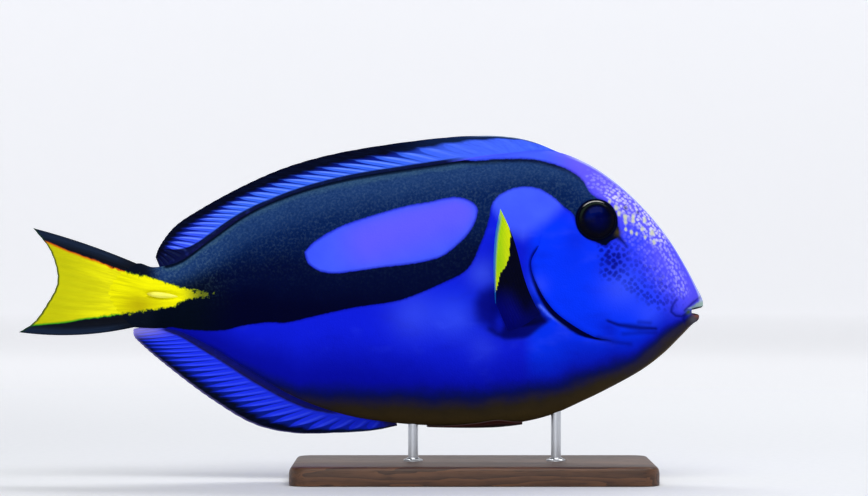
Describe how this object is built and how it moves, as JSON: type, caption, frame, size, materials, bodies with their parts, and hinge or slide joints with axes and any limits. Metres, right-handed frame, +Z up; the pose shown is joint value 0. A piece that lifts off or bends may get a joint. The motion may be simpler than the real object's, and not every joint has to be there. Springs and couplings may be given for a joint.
{
  "type": "regal blue tang",
  "caption": "Regal blue tang at life size, swimming with the pectoral fins raised, held over a flat rectangular base by short rods.",
  "frame": {"origin": "on the surface that the base stands on, at the middle of the object's length and width", "axes": "+X forward to the snout, +Y to the fish's left, +Z up"},
  "size_m": [0.2196, 0.067, 0.1104],
  "materials": {
    "skin": "fine-scaled fish skin with a satin sheen, electric blue with a navy-black painter's-palette marking and a yellow wedge on the tail stalk",
    "blue_fin": "rayed fin membrane, light blue rays between darker streaks, with a black outer margin",
    "tail_fin": "rayed yellow tail fin with black upper and lower borders",
    "pectoral_fin": "rayed pectoral fin, navy-black near the root and on the leading edge, yellow outside",
    "pelvic_fin": "dark folded fin with a pale edge",
    "eye": "wet, clear gloss over a large dark pupil and a dark brown iris",
    "tail_spine": "smooth pale yellow spine in its sheath",
    "base_wood": "dark walnut with fine grain and a satin oil finish",
    "rod_steel": "finely brushed round steel"
  },
  "bodies": {
    "root": {"head": "skin", "torso": "skin", "tail_stalk": "skin", "dorsal_fin": "blue_fin", "anal_fin": "blue_fin", "caudal_fin": "tail_fin", "pectoral_fin_right": "pectoral_fin", "pectoral_fin_left": "pectoral_fin", "pelvic_fin_right": "pelvic_fin", "pelvic_fin_left": "pelvic_fin", "eye_right": "eye", "eye_left": "eye", "tail_spine_right": "tail_spine", "tail_spine_left": "tail_spine", "stand_base": "base_wood", "stand_rod_front": "rod_steel", "stand_rod_back": "rod_steel"}
  },
  "joints": []
}
